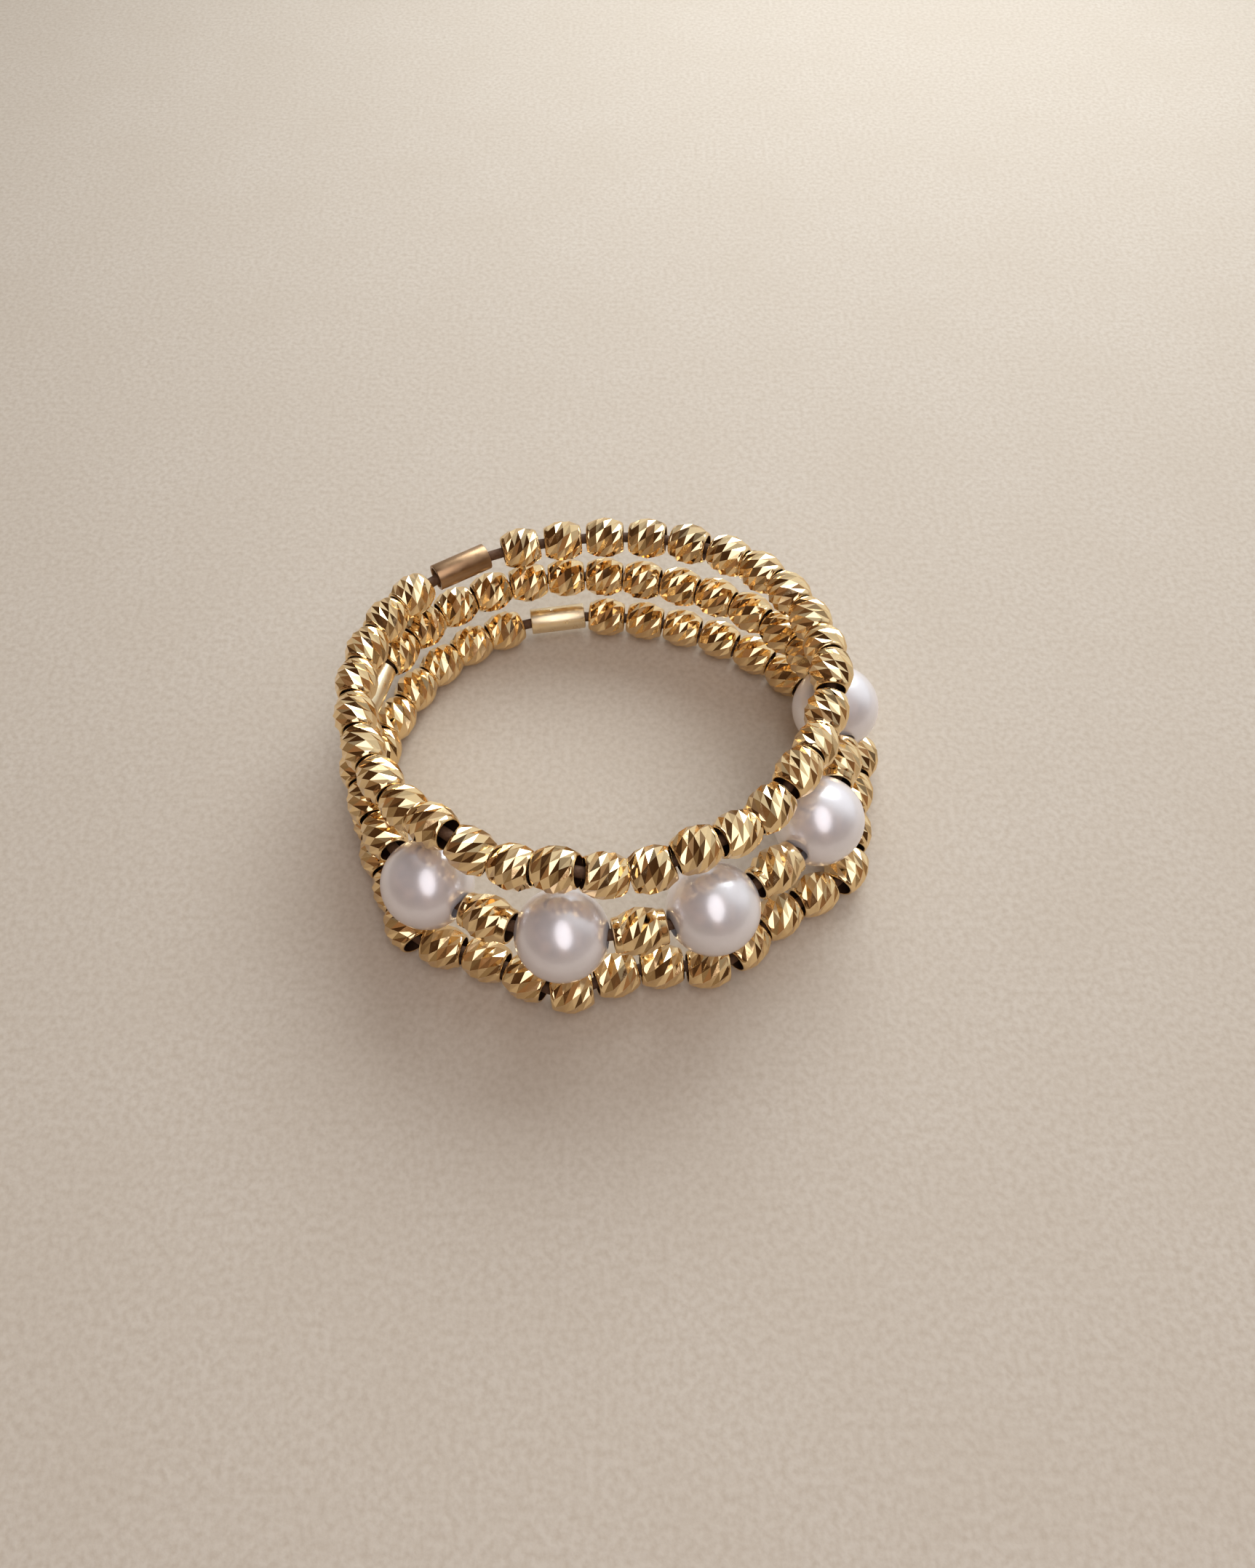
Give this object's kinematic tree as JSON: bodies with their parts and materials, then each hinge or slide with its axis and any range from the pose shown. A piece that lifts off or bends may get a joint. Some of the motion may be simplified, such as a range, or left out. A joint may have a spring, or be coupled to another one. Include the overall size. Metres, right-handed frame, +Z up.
{
  "type": "pearl stretch ring",
  "caption": "Finger ring of three elastic rows of small faceted gold beads, with white round pearls spaced by gold beads along the middle row.",
  "frame": {"origin": "middle of the ring's footprint, on the surface that its bottom row lies on", "axes": "+Z up, along the finger hole; -Y towards the middle of the pearls; +X to the right of them"},
  "size_m": [0.0258, 0.0246, 0.0083],
  "materials": {
    "gold": "diamond-cut and mirror polished",
    "rose_gold": "smooth polished",
    "pearl": "high lustre"
  },
  "bodies": {
    "root": {"top_row": "gold", "middle_row": "gold", "bottom_row": "gold", "crimp_tube_top": "rose_gold", "crimp_tube_middle": "gold", "crimp_tube_bottom": "gold", "pearl_1": "pearl", "pearl_2": "pearl", "pearl_3": "pearl", "pearl_4": "pearl", "pearl_5": "pearl"}
  },
  "joints": []
}
